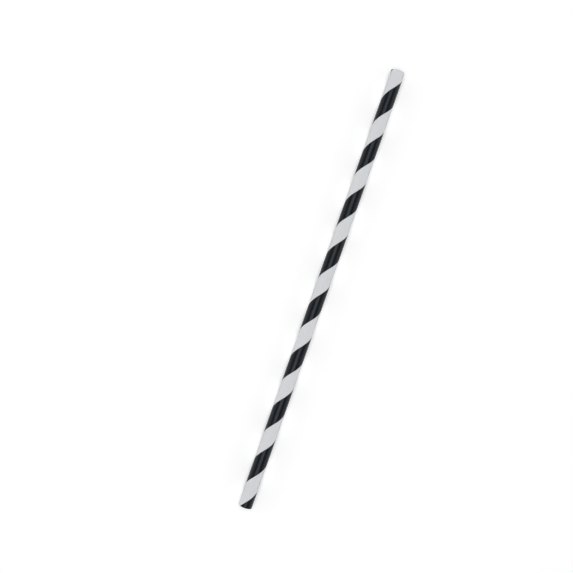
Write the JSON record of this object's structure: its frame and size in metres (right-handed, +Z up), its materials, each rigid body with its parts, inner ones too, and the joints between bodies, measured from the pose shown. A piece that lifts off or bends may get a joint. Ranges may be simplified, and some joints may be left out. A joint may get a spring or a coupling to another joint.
{
  "type": "paper drinking straw",
  "caption": "Straight spiral-wound paper drinking straw with an even black and white spiral stripe, open at both square-cut ends.",
  "frame": {"origin": "on the surface that the straw lies on, below the middle of its length", "axes": "+X along the straw towards the end that is uppermost in use, +Z up, away from the surface that it lies on"},
  "size_m": [0.197, 0.006, 0.006],
  "materials": {
    "striped_paper": "uncoated white paper with a satin black spiral print"
  },
  "bodies": {
    "root": {"straw_tube": "striped_paper"}
  },
  "joints": []
}
